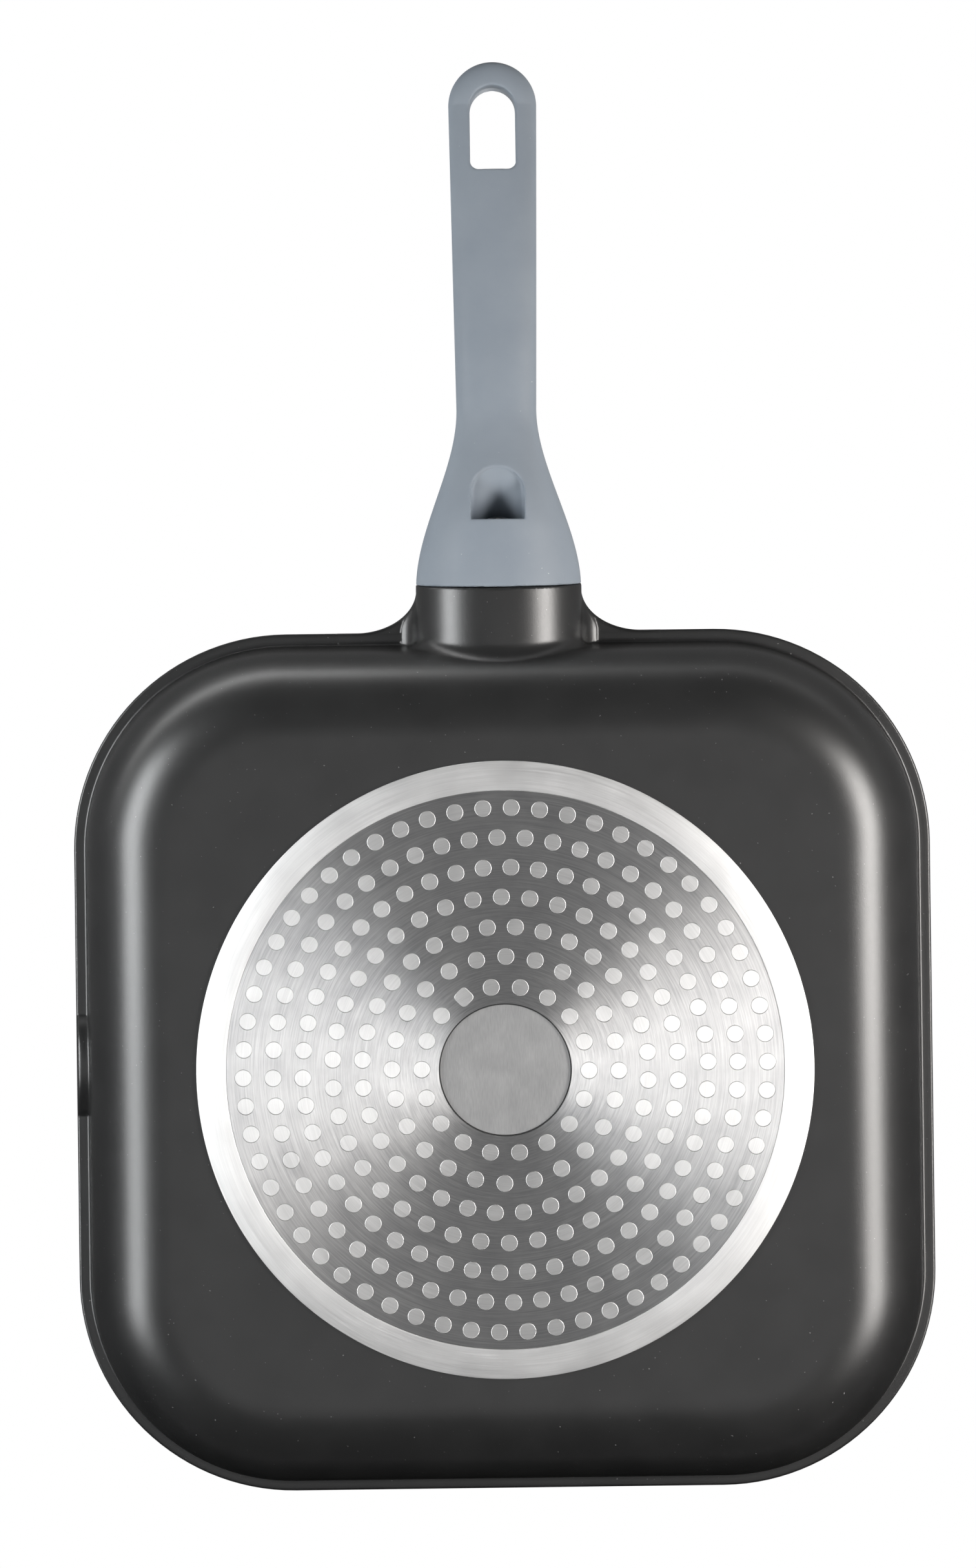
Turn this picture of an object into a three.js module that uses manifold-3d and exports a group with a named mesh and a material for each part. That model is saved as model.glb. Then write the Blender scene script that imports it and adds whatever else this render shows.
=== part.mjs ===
// Square cast grill pan: a perforated induction plate in its base, a moulded handle held by one slanting screw.
// Millimetres, +Z up. The origin is the centre of the base on the hob; the handle runs along +Y, the spout is at +X.

import * as THREE from "three";
import { mergeVertices } from "three/addons/utils/BufferGeometryUtils.js";
import Module from "manifold-3d";

const { degToRad, lerp, clamp, smoothstep } = THREE.MathUtils;

// Clearances
const fitGap = 0.3; // between pieces that seat in or on each other
const overcut = 2; // how far a cutter or a root runs past the face it crosses

// Vessel
const panWidth = 280; // across the rim, both ways
const cornerRadius = 70; // of the rim's outline
const panHeight = 45; // rim above the hob
const wallLean = degToRad(9); // from upright
const wallThickness = 3.5; // measured level
const floorThickness = 5;
const outerFillet = 28; // floor to wall, outside
const innerFillet = 22; // floor to wall, inside
const lipWidth = 4; // rim lip outside the wall
const lipHeight = 4.4;
const lipFillet = 1; // where the lip's underside meets the wall
const lipRound = 0.8; // lower outer edge of the lip
const rimRound = 1.5; // upper edges of the rim

// Base
const plateRadius = 88;
const plateThickness = 0.8;
const plateBore = 21; // radius of the opening in the middle of the plate
const boreChamfer = 0.5; // round the lower edge of that opening
const spotInset = 0.5; // plain spot in the middle of the base, inside that opening
const spotDrop = 0.2; // the spot beyond the plate's seat
const padRing = 9.5; // bare machined ring round the plate
const padStep = 1; // pad below the coated floor

// Perforations: rings of round holes that all start on one index line
const holesInRing = [18, 24, 32, 38, 46, 52, 58]; // from the inside
const holeRadius = 2.75;
const boreMargin = 5.4; // from the bore to the innermost ring
const edgeMargin = 5.3; // from the outermost ring to the plate's edge
const indexAngle = degToRad(61); // of the index line, from +X

// Grill ribs on the cooking floor
const ribPitch = 14;
const ribFoot = 5.4; // width on the floor
const ribCrest = 3.6; // width where the top edge rounds over
const ribHeight = 3.6;
const ribEdge = 0.7; // rounding of the top edge
const gutter = 7; // flat floor left round the ribs

// Pouring spout
const spoutWidth = 32.5; // across the bulge, level with the lip's underside
const spoutDrop = 8.5; // bulge below the lip
const spoutWall = 3;
const spoutLean = degToRad(13); // of the bulge's outer end, from upright

// Handle boss, cast with the vessel
const jointReach = 14; // joint face beyond the rim
const bossWidth = 54;
const bossHeight = 26;
const crownDrop = 1.5; // top of the boss below the rim
const shoulderDrop = 8; // widest point below the top
const bossFillet = 7; // boss to wall
const webFlare = 20; // reach of the web along the rim, each side

// Tenon that locates the handle on the boss
const tenonWidth = 32;
const tenonHeight = 15;
const tenonLength = 9;
const tenonDrop = 10.5; // middle of the tenon below the top of the boss

// Handle
const handleLength = 174; // joint to tail
const handleInset = 0.5; // handle outline inside the boss outline
const mouthChamfer = 0.6; // edge of the handle at the joint
const neckAt = 58; // narrowest point, from the joint
const neckWidth = 26;
const neckThickness = 16;
const neckDrop = 7; // middle of the neck below the top of the boss
const tailWidth = 29;
const tailThickness = 13;
const tailRise = 14; // tail above the neck

// Hanging hole
const eyeWidth = 15;
const eyeLength = 26.2;
const eyeCorner = 2.8;
const eyeMargin = 8.9; // to the end of the tail

// Screw pocket in the underside of the handle
const pocketFrom = 21.1; // flat wall, from the joint
const pocketWidth = 17.3;
const pocketLength = 17.6;
const pocketDepth = 6.7; // at the flat wall
const pocketLip = 1; // depth at the round end

// Screw and washers
const screwTilt = degToRad(25); // the screw rises towards the pan
const seatFrom = 15; // middle of the screw's seat, from the joint
const shankRadius = 2.5;
const shankLength = 18;
const headRadius = 4.25;
const headHeight = 3.3;
const headRound = 0.6;
const crossWidth = 1.3; // arms of the cross recess
const crossSpan = 4.6;
const crossDepth = 1.9;
const washerReach = 0.25; // washers beyond the head
const plainThickness = 1;
const springThickness = 1.2;
const springRise = 0.5; // between the spring washer's two ends
const springSplit = degToRad(12); // half the split

// Facets
const cornerSteps = 8;
const filletSteps = 6;
const roundSteps = 2; // on small edge roundings
const ovalSteps = 28;
const holeSides = 6;
const padSteps = 26; // half of a full circle on the base
const boltSteps = 16;

// Heights and places that follow from the sizes above
const innerFloor = padStep + floorThickness;
const ledge = panHeight - lipHeight;
const rimReach = panWidth / 2;
const jointY = rimReach + jointReach;
const bossCrown = panHeight - crownDrop;
const bossBelly = bossCrown - bossHeight;
const bossShoulder = bossCrown - shoulderDrop;
const tenonCentre = bossCrown - tenonDrop;
const neckCentre = bossCrown - neckDrop;
const tailCentre = handleLength - tailWidth / 2;
const boltBore = shankRadius + fitGap;
const washerRadius = headRadius + washerReach;
const channelRadius = washerRadius + fitGap;

const wasm = await Module();
wasm.setup();

function solidOf(geometry) {
  const bare = geometry.clone();
  bare.deleteAttribute("normal");
  bare.deleteAttribute("uv");
  const merged = mergeVertices(bare);
  const corners = Array.from(merged.index.array);
  const faces = [];
  for (let k = 0; k < corners.length; k += 3) {
    const face = corners.slice(k, k + 3);
    if (new Set(face).size === 3) faces.push(...face);
  }
  const mesh = new wasm.Mesh({
    numProp: 3,
    vertProperties: new Float32Array(merged.attributes.position.array),
    triVerts: new Uint32Array(faces),
  });
  return new wasm.Manifold(mesh);
}

function geometryOf(solid) {
  const mesh = solid.getMesh();
  const geometry = new THREE.BufferGeometry();
  geometry.setAttribute("position", new THREE.Float32BufferAttribute(mesh.vertProperties, 3));
  geometry.setIndex(Array.from(mesh.triVerts));
  geometry.computeVertexNormals();
  return geometry;
}

function arc(x, y, radius, from, to, steps) {
  return new THREE.EllipseCurve(x, y, radius, radius, from, to, to < from).getPoints(steps);
}

// Closed solid through a row of loops, each with the same number of points, anticlockwise seen from the last loop
function loft(loops) {
  const count = loops[0].length;
  const points = loops.flat();
  const faces = [];
  for (let ring = 0; ring + 1 < loops.length; ring++) {
    for (let k = 0; k < count; k++) {
      const a = ring * count + k;
      const b = ring * count + ((k + 1) % count);
      faces.push(a, b, b + count, a, b + count, a + count);
    }
  }
  for (const ring of [0, loops.length - 1]) {
    const middle = new THREE.Vector3();
    loops[ring].forEach((point) => middle.addScaledVector(point, 1 / count));
    const hub = points.push(middle) - 1;
    for (let k = 0; k < count; k++) {
      const a = ring * count + k;
      const b = ring * count + ((k + 1) % count);
      faces.push(hub, ...(ring === 0 ? [b, a] : [a, b]));
    }
  }
  const geometry = new THREE.BufferGeometry().setFromPoints(points);
  geometry.setIndex(faces);
  return geometry;
}

// Rounded square at a height, inset from the rim's outline
function squareLoop(inset, z) {
  const corner = rimReach - cornerRadius;
  const signs = [[1, 1], [-1, 1], [-1, -1], [1, -1]];
  return signs.flatMap(([sx, sy], quarter) => {
    const start = (quarter * Math.PI) / 2;
    const points = arc(sx * corner, sy * corner, cornerRadius - inset, start, start + Math.PI / 2, cornerSteps);
    return points.map((point) => new THREE.Vector3(point.x, point.y, z));
  });
}

function squareLoft(profile) {
  return loft(profile.map((point) => squareLoop(point.x, point.y)));
}

// Inset of the edge where a flat floor turns up into the wall
function footInset(ledgeInset, floor, fillet) {
  const tangent = floor + fillet * (1 - Math.sin(wallLean));
  return ledgeInset + (ledge - tangent) * Math.tan(wallLean) + fillet * Math.cos(wallLean);
}

// Round foot of the wall, as inset and height, from the floor up to the straight wall
function footArc(ledgeInset, floor, fillet) {
  const inset = footInset(ledgeInset, floor, fillet);
  return arc(inset, floor + fillet, fillet, -Math.PI / 2, wallLean - Math.PI, filletSteps);
}

// Inset of the vessel's outer face at a height below the lip
function outerInset(z) {
  const foot = footInset(lipWidth, padStep, outerFillet);
  const tangent = padStep + outerFillet * (1 - Math.sin(wallLean));
  if (z > tangent) return lipWidth + (ledge - z) * Math.tan(wallLean);
  const rise = outerFillet - (z - padStep);
  return foot - Math.sqrt(outerFillet ** 2 - rise ** 2);
}

// Section across the handle's axis: round belly below the shoulder, flatter crown above it
function ovalLoop(y, halfWidth, belly, shoulder, crown, bellyPower, crownPower) {
  return Array.from({ length: ovalSteps }, (_, k) => {
    const turn = (2 * Math.PI * k) / ovalSteps;
    const across = Math.sin(turn);
    const up = Math.cos(turn);
    const power = 2 / (up > 0 ? crownPower : bellyPower);
    const rise = up > 0 ? crown - shoulder : shoulder - belly;
    const x = halfWidth * Math.sign(across) * Math.abs(across) ** power;
    const z = shoulder + rise * Math.sign(up) * Math.abs(up) ** power;
    return new THREE.Vector3(x, y, z);
  });
}

const jointBellyPower = 2.2;
const jointCrownPower = 4;
const gripPower = 2.6;
const tenonPower = 4;

// Vessel without its cavity: floor, leaning wall and lip
function vesselBlock() {
  const fillet = lipWidth - lipFillet + lipFillet * Math.tan(wallLean);
  return solidOf(squareLoft([
    ...footArc(lipWidth, padStep, outerFillet),
    ...arc(fillet, ledge - lipFillet, lipFillet, 0, Math.PI / 2, roundSteps),
    ...arc(lipRound, ledge + lipRound, lipRound, -Math.PI / 2, -Math.PI, roundSteps),
    ...arc(rimRound, panHeight - rimRound, rimRound, Math.PI, Math.PI / 2, roundSteps),
  ]));
}

function cavity() {
  const ledgeInset = lipWidth + wallThickness;
  const roundFrom = panHeight - rimRound;
  const rimInset = ledgeInset - (roundFrom - ledge) * Math.tan(wallLean) - rimRound;
  return solidOf(squareLoft([
    ...footArc(ledgeInset, innerFloor, innerFillet),
    ...arc(rimInset, roundFrom, rimRound, 0, Math.PI / 2, roundSteps),
    new THREE.Vector2(rimInset, panHeight + overcut),
  ]));
}

// How far the blend into the wall stands off a line along the boss, at a distance from a wall that leans away
function blendRise(distance, lean) {
  const start = (bossFillet * (1 - Math.sin(lean))) / Math.cos(lean);
  const into = clamp(start - distance, 0, bossFillet * Math.cos(lean));
  return bossFillet - Math.sqrt(bossFillet ** 2 - into ** 2);
}

// Section of the boss, grown where it blends into the wall; its top stays level
function bossLoop(y) {
  const halfWidth = bossWidth / 2;
  const section = ovalLoop(y, halfWidth, bossBelly, bossShoulder, bossCrown, jointBellyPower, jointCrownPower);
  return section.map((point, k) => {
    const before = section.at(k - 1);
    const after = section[(k + 1) % ovalSteps];
    const out = new THREE.Vector3(before.z - after.z, 0, after.x - before.x).normalize();
    out.setZ(Math.min(out.z, 0));
    const z = Math.min(point.z, ledge);
    const slope = outerInset(z - 1) - outerInset(z);
    const lean = Math.atan(slope * -out.z);
    const rise = blendRise(y - (rimReach - outerInset(z)), lean);
    return point.clone().addScaledVector(out, rise);
  });
}

function boss() {
  const bellyWall = rimReach - outerInset(bossBelly - bossFillet);
  const blendFrom = rimReach - outerInset(bossShoulder) + bossFillet;
  const blendSteps = 2 * filletSteps;
  const stations = [bellyWall - overcut];
  for (let step = 0; step <= blendSteps; step++) stations.push(lerp(bellyWall, blendFrom, step / blendSteps));
  stations.push(jointY);
  return solidOf(loft(stations.map(bossLoop)));
}

// Web that carries the lip's underside out to the sides of the boss
function web() {
  const inside = rimReach - lipWidth;
  const wide = bossWidth / 2 + webFlare;
  const outline = new THREE.Shape();
  outline.moveTo(-wide, inside);
  outline.lineTo(wide, inside);
  outline.lineTo(wide, rimReach);
  outline.absellipse(wide, jointY, webFlare, jointReach, -Math.PI / 2, -Math.PI, true);
  outline.lineTo(-bossWidth / 2, jointY);
  outline.absellipse(-wide, jointY, webFlare, jointReach, 0, -Math.PI / 2, true);
  const depth = bossCrown - ledge;
  const geometry = new THREE.ExtrudeGeometry(outline, { depth, bevelEnabled: false, curveSegments: filletSteps });
  return solidOf(geometry.translate(0, 0, ledge));
}

function tenon(clearance) {
  const halfHeight = tenonHeight / 2 + clearance;
  const section = (y) => ovalLoop(
    y, tenonWidth / 2 + clearance, tenonCentre - halfHeight, tenonCentre, tenonCentre + halfHeight, tenonPower, tenonPower,
  );
  return solidOf(loft([section(jointY - overcut), section(jointY + tenonLength + clearance)]));
}

// Cylinder along X over the spout; its lower part makes the bulge or the channel
function spoutCylinder(thinner) {
  const outer = ((spoutWidth / 2) ** 2 + spoutDrop ** 2) / (2 * spoutDrop);
  const inside = rimReach - outerInset(ledge - spoutDrop) - wallThickness - overcut;
  const length = rimReach + overcut - inside;
  const cylinder = new THREE.CylinderGeometry(outer - thinner, outer - thinner, length, 2 * boltSteps);
  cylinder.rotateZ(Math.PI / 2);
  return solidOf(cylinder.translate(inside + length / 2, 0, ledge - spoutDrop + outer));
}

function spoutBulge() {
  const top = ledge + lipRound;
  const bottom = ledge - spoutDrop - overcut;
  const envelope = squareLoft([
    new THREE.Vector2((top - bottom) * Math.tan(spoutLean), bottom),
    new THREE.Vector2(0, top),
  ]);
  return spoutCylinder(0).intersect(solidOf(envelope));
}

// Rib outline with round ends, at one height
function ribLoop(x, halfLength, halfWidth, z) {
  const end = halfLength - halfWidth;
  const points = [
    ...arc(x, end, halfWidth, 0, Math.PI, 2 * roundSteps),
    ...arc(x, -end, halfWidth, Math.PI, 2 * Math.PI, 2 * roundSteps),
  ];
  return points.map((point) => new THREE.Vector3(point.x, point.y, z));
}

function ribs() {
  const inset = footInset(lipWidth + wallThickness, innerFloor, innerFillet) + gutter;
  const corner = rimReach - cornerRadius;
  const reach = rimReach - inset;
  const count = Math.floor((reach - ribFoot / 2) / ribPitch);
  const crest = innerFloor + ribHeight;
  const taper = (ribFoot - ribCrest) / 2;
  return Array.from({ length: 2 * count + 1 }, (_, k) => {
    const x = (k - count) * ribPitch;
    const past = Math.max(Math.abs(x) - corner, 0);
    const halfLength = corner + Math.sqrt((cornerRadius - inset) ** 2 - past ** 2);
    return solidOf(loft([
      ribLoop(x, halfLength, ribFoot / 2, innerFloor - overcut),
      ribLoop(x, halfLength, ribFoot / 2, innerFloor),
      ribLoop(x, halfLength - taper, ribCrest / 2, crest - ribEdge),
      ribLoop(x, halfLength - taper - ribEdge, ribCrest / 2 - ribEdge, crest),
    ]));
  });
}

// Disc about the Z axis between two heights
function disc(radius, from, to) {
  const cylinder = new THREE.CylinderGeometry(radius, radius, to - from, 2 * padSteps);
  cylinder.rotateX(Math.PI / 2);
  return solidOf(cylinder.translate(0, 0, (from + to) / 2));
}

// Screw frame: the origin is the middle of the seat, +Z runs out of the pocket
const fastener = new THREE.Group();
fastener.position.set(0, jointY + seatFrom, tenonCentre - (seatFrom - tenonLength) * Math.tan(screwTilt));
fastener.rotation.x = -Math.PI / 2 - screwTilt;
fastener.updateMatrix();

const springFrom = fitGap + plainThickness + fitGap;
const headFrom = springFrom + springThickness + springRise + fitGap;
const boltTip = headFrom - shankLength;

// Round hole along the screw between two places on its axis
function boltHole(radius, from, to) {
  const cylinder = new THREE.CylinderGeometry(radius, radius, to - from, boltSteps);
  cylinder.rotateX(Math.PI / 2).translate(0, 0, (from + to) / 2);
  return solidOf(cylinder.applyMatrix4(fastener.matrix));
}

function panBody() {
  let body = vesselBlock().add(boss()).add(web()).add(spoutBulge());
  body = body.subtract(cavity()).subtract(spoutCylinder(spoutWall));
  ribs().forEach((rib) => {
    body = body.add(rib);
  });
  body = body.add(disc(plateRadius + padRing, 0, innerFloor - floorThickness / 2));
  body = body.subtract(disc(plateRadius + fitGap, -overcut, plateThickness));
  body = body.subtract(disc(plateBore - spotInset, -overcut, plateThickness + spotDrop));
  body = body.add(tenon(0));
  return body.subtract(boltHole(boltBore, boltTip - fitGap, 0));
}

// Steel plate pressed into the base; the innermost hole on the index line is square
function inductionPlate() {
  const outline = new THREE.Shape();
  outline.absarc(0, 0, plateRadius, 0, 2 * Math.PI);
  const bore = new THREE.Path();
  bore.absarc(0, 0, plateBore, 0, 2 * Math.PI);
  outline.holes.push(bore);
  const firstRing = plateBore + boreMargin;
  const ringPitch = (plateRadius - edgeMargin - firstRing) / (holesInRing.length - 1);
  holesInRing.forEach((count, ring) => {
    for (let k = 0; k < count; k++) {
      const around = indexAngle + (2 * Math.PI * k) / count;
      const sides = ring === 0 && k === 0 ? 4 : holeSides;
      const centre = new THREE.Vector2(firstRing + ring * ringPitch, 0);
      const corners = Array.from({ length: sides }, (_, side) => {
        const turn = (2 * Math.PI * (side + 0.5)) / sides;
        const corner = new THREE.Vector2(Math.cos(turn), Math.sin(turn)).multiplyScalar(holeRadius);
        return corner.add(centre).rotateAround(new THREE.Vector2(), around);
      });
      outline.holes.push(new THREE.Path(corners));
    }
  });
  const settings = { depth: plateThickness, bevelEnabled: false, curveSegments: padSteps };
  const chamfer = new THREE.CylinderGeometry(plateBore, plateBore + 2 * boreChamfer, 2 * boreChamfer, 2 * padSteps);
  chamfer.rotateX(Math.PI / 2);
  return solidOf(new THREE.ExtrudeGeometry(outline, settings)).subtract(solidOf(chamfer));
}

// Handle section at a distance from the joint: from the boss's shape to the neck, then to the tail
function gripSection(along) {
  const joint = 1 - smoothstep(along, 0, neckAt);
  const grip = clamp((along - neckAt) / (tailCentre - neckAt), 0, 1);
  const rise = (grip ** 2 * (3 - grip)) / 2;
  const past = Math.max(along - tailCentre, 0) / (tailWidth / 2);
  const round = Math.sqrt(1 - past ** 2);
  const centre = neckCentre + tailRise * rise;
  const half = (lerp(neckThickness, tailThickness, grip) / 2) * round ** 0.4;
  return {
    halfWidth: lerp(lerp(neckWidth, tailWidth, grip) / 2, bossWidth / 2 - handleInset, joint) * round,
    belly: lerp(centre - half, bossBelly + handleInset, joint),
    shoulder: lerp(centre, bossShoulder, joint),
    crown: lerp(centre + half, bossCrown - handleInset, joint),
    bellyPower: lerp(gripPower, jointBellyPower, joint),
    crownPower: lerp(gripPower, jointCrownPower, joint),
  };
}

function gripLoop(along, inset) {
  const section = gripSection(along);
  return ovalLoop(
    jointY + along, section.halfWidth - inset, section.belly + inset, section.shoulder, section.crown - inset,
    section.bellyPower, section.crownPower,
  );
}

function gripBlank() {
  const neckSteps = 11;
  const shaftSteps = 8;
  const tailSteps = 7;
  const tailEnd = degToRad(86); // the last section, short of the tail's tip
  const stations = [fitGap + mouthChamfer];
  for (let step = 1; step <= neckSteps; step++) stations.push((neckAt * step) / neckSteps);
  for (let step = 1; step <= shaftSteps; step++) stations.push(lerp(neckAt, tailCentre, step / shaftSteps));
  for (let step = 1; step <= tailSteps; step++) {
    stations.push(tailCentre + (tailWidth / 2) * Math.sin((tailEnd * step) / tailSteps));
  }
  const loops = stations.map((along) => gripLoop(along, 0));
  return solidOf(loft([gripLoop(fitGap, mouthChamfer), ...loops]));
}

// Hanging hole: round towards the tail, square with round corners towards the pan
function hangingHole() {
  const half = eyeWidth / 2;
  const far = jointY + handleLength - eyeMargin;
  const near = far - eyeLength;
  const outline = new THREE.Shape();
  outline.moveTo(half, near + eyeCorner);
  outline.absarc(0, far - half, half, 0, Math.PI);
  outline.absarc(eyeCorner - half, near + eyeCorner, eyeCorner, Math.PI, 1.5 * Math.PI);
  outline.absarc(half - eyeCorner, near + eyeCorner, eyeCorner, 1.5 * Math.PI, 2 * Math.PI);
  const depth = neckCentre + tailRise + tailThickness;
  return solidOf(new THREE.ExtrudeGeometry(outline, { depth, bevelEnabled: false, curveSegments: filletSteps }));
}

// Pocket with one flat wall; its floor climbs from the round end to the screw
function screwPocket() {
  const half = pocketWidth / 2;
  const near = jointY + pocketFrom;
  const outline = new THREE.Shape();
  outline.moveTo(-half, near);
  outline.lineTo(half, near);
  outline.absarc(0, near + pocketLength - half, half, 0, Math.PI);
  const settings = { depth: bossCrown, bevelEnabled: false, curveSegments: filletSteps };
  const prism = solidOf(new THREE.ExtrudeGeometry(outline, settings));
  const end = pocketFrom + pocketLength;
  const side = new THREE.Shape([
    new THREE.Vector2(near - overcut, 0),
    new THREE.Vector2(jointY + end + overcut, 0),
    new THREE.Vector2(jointY + end + overcut, gripSection(end).belly + pocketLip),
    new THREE.Vector2(jointY + end, gripSection(end).belly + pocketLip),
    new THREE.Vector2(near, gripSection(pocketFrom).belly + pocketDepth),
    new THREE.Vector2(near - overcut, gripSection(pocketFrom).belly + pocketDepth),
  ]);
  const wedge = new THREE.ExtrudeGeometry(side, { depth: bossWidth, bevelEnabled: false });
  wedge.rotateX(Math.PI / 2).rotateZ(Math.PI / 2).translate(-bossWidth / 2, 0, 0);
  return prism.intersect(solidOf(wedge));
}

function handleGrip() {
  const driverReach = pocketFrom + pocketLength;
  return gripBlank()
    .subtract(tenon(fitGap))
    .subtract(boltHole(boltBore, boltTip, overcut))
    .subtract(screwPocket())
    .subtract(boltHole(channelRadius, 0, driverReach))
    .subtract(hangingHole());
}

function handleScrew() {
  const profile = [
    new THREE.Vector2(0, boltTip),
    new THREE.Vector2(shankRadius - headRound, boltTip),
    new THREE.Vector2(shankRadius, boltTip + headRound),
    new THREE.Vector2(shankRadius, headFrom),
    new THREE.Vector2(headRadius, headFrom),
    ...arc(headRadius - headRound, headFrom + headHeight - headRound, headRound, 0, Math.PI / 2, roundSteps),
    new THREE.Vector2(0, headFrom + headHeight),
  ];
  const turned = solidOf(new THREE.LatheGeometry(profile, boltSteps).rotateX(Math.PI / 2));
  const arm = new THREE.BoxGeometry(crossWidth, crossSpan, 2 * crossDepth).translate(0, 0, headFrom + headHeight);
  const cross = solidOf(arm).add(solidOf(arm.clone().rotateZ(Math.PI / 2)));
  return turned.subtract(cross);
}

function springWasher() {
  return loft(Array.from({ length: boltSteps + 1 }, (_, step) => {
    const part = step / boltSteps;
    const around = lerp(springSplit, 2 * Math.PI - springSplit, part);
    const low = springFrom + springRise * part;
    const corner = (radius, z) => new THREE.Vector3(radius * Math.cos(around), radius * Math.sin(around), z);
    return [
      corner(boltBore, low + springThickness),
      corner(washerRadius, low + springThickness),
      corner(washerRadius, low),
      corner(boltBore, low),
    ];
  }));
}

function plainWasher() {
  const outline = new THREE.Shape();
  outline.absarc(0, 0, washerRadius, 0, 2 * Math.PI);
  const bore = new THREE.Path();
  bore.absarc(0, 0, boltBore, 0, 2 * Math.PI);
  outline.holes.push(bore);
  const settings = { depth: plainThickness, bevelEnabled: false, curveSegments: boltSteps / 2 };
  return new THREE.ExtrudeGeometry(outline, settings).translate(0, 0, fitGap);
}

function piece(name, geometry, color, roughness, metalness) {
  const mesh = new THREE.Mesh(geometry, new THREE.MeshStandardMaterial({ color, roughness, metalness }));
  mesh.name = name;
  return mesh;
}

fastener.add(
  piece("handle_screw", geometryOf(handleScrew()), 0x8f9092, 0.35, 1),
  piece("spring_washer", springWasher(), 0x7d7e80, 0.4, 1),
  piece("plain_washer", plainWasher(), 0x9a9b9d, 0.35, 1),
);

const grillPan = new THREE.Group();
grillPan.add(
  piece("pan_body", geometryOf(panBody()), 0x343537, 0.45, 0.3),
  piece("induction_plate", geometryOf(inductionPlate()), 0x8b8c8e, 0.35, 1),
  piece("handle", geometryOf(handleGrip()), 0x8c949d, 0.6, 0),
  fastener,
);

export default grillPan;
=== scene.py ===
import math

import bmesh
import bpy
import numpy as np
from mathutils import Matrix, Vector


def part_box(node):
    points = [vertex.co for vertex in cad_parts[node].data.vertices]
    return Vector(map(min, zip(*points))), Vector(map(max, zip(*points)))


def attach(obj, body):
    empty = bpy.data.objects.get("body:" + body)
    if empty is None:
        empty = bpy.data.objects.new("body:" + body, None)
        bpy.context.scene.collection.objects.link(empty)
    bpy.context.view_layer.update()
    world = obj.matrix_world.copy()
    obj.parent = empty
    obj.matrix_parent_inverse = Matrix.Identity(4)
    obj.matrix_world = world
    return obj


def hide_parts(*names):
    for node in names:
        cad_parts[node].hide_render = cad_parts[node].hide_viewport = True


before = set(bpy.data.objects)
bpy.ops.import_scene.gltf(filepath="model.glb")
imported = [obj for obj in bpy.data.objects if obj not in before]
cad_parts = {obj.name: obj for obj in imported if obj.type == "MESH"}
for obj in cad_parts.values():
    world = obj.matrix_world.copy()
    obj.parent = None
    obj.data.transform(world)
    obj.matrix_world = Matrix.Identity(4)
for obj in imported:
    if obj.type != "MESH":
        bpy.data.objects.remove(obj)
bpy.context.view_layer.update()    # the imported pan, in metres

mm = 0.001    # shapes below are worked out in millimetres
tinyEdge = 0.003    # shorter edges are closed up


def corners(node):
    low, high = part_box(node)
    return low / mm, high / mm


print("frame loaded:", ", ".join(sorted(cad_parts)))


# Small maths shared by the pieces

def ease(value, start, end):
    part = np.clip((value - start) / (end - start), 0, 1)
    return part * part * (3 - 2 * part)


def mix(a, b, part):
    return a + (b - a) * part


def softMin(a, b, width):
    blend = np.maximum(width - np.abs(a - b), 0) / width
    return np.minimum(a, b) - blend * blend * width / 4


def arcPoints(x, y, radius, start, end, steps):
    turns = np.radians(np.linspace(start, end, steps + 1))
    return [(x + radius * math.cos(t), y + radius * math.sin(t)) for t in turns]


def roundJoin(a, b, radius):    # two solid fields added, with a fillet in the corner
    spread = np.hypot(np.maximum(radius - a, 0), np.maximum(radius - b, 0))
    return np.maximum(radius, np.minimum(a, b)) - spread


def roundKeep(a, b, radius):    # what two solid fields share, with a rounded edge
    spread = np.hypot(np.maximum(radius + a, 0), np.maximum(radius + b, 0))
    return np.minimum(-radius, np.maximum(a, b)) + spread


def roundCut(a, b, radius):    # field a with b taken out
    return roundKeep(a, -b, radius)


# Meshes

def addPiece(name, points, faces, materials, slot, *nodes, sharp=40):
    mesh = bpy.data.meshes.new(name)
    mesh.from_pydata((np.asarray(points, float) * mm).tolist(), [], faces)
    return dressPiece(name, mesh, materials, slot, *nodes, sharp=sharp)


def dressPiece(name, mesh, materials, slot, *nodes, sharp=40):
    mesh.validate()
    form = bmesh.new()
    form.from_mesh(mesh)
    bmesh.ops.dissolve_degenerate(form, dist=tinyEdge * mm, edges=form.edges)   # faces of no area
    crowded = [edge for edge in form.edges if len(edge.link_faces) > 2]
    bmesh.ops.collapse(form, edges=crowded)    # two skins that touch along an edge
    form.to_mesh(mesh)
    form.free()
    mesh.shade_smooth()
    mesh.set_sharp_from_angle(angle=math.radians(sharp))
    mesh.materials.clear()
    for material in materials:
        mesh.materials.append(material)
    piece = bpy.data.objects.new(name, mesh)
    bpy.context.scene.collection.objects.link(piece)
    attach(piece, "root")
    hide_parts(*nodes)
    print(name, "made,", len(mesh.polygons), "faces")
    return piece


def ringFaces(rings, count, closed=False):    # quads between rows of points
    faces = []
    for ring in range(rings if closed else rings - 1):
        a = ring * count
        b = (ring + 1) % rings * count
        for k in range(count):
            n = (k + 1) % count
            faces.append((a + k, a + n, b + n, b + k))
    return faces


def endCaps(count, total):    # close the first and the last row of points
    return [tuple(range(count - 1, -1, -1)), tuple(range(total - count, total))]


def lathe(profile, steps, capped=False):    # (radius, height) points, outwards along the underside first
    points = []
    turns = np.arange(steps) * 2 * math.pi / steps
    for radius, height in profile:
        points += [(radius * math.cos(t), radius * math.sin(t), height) for t in turns]
    faces = ringFaces(len(profile), steps, closed=not capped)
    if capped:
        faces += endCaps(steps, len(points))
    return points, faces


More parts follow.
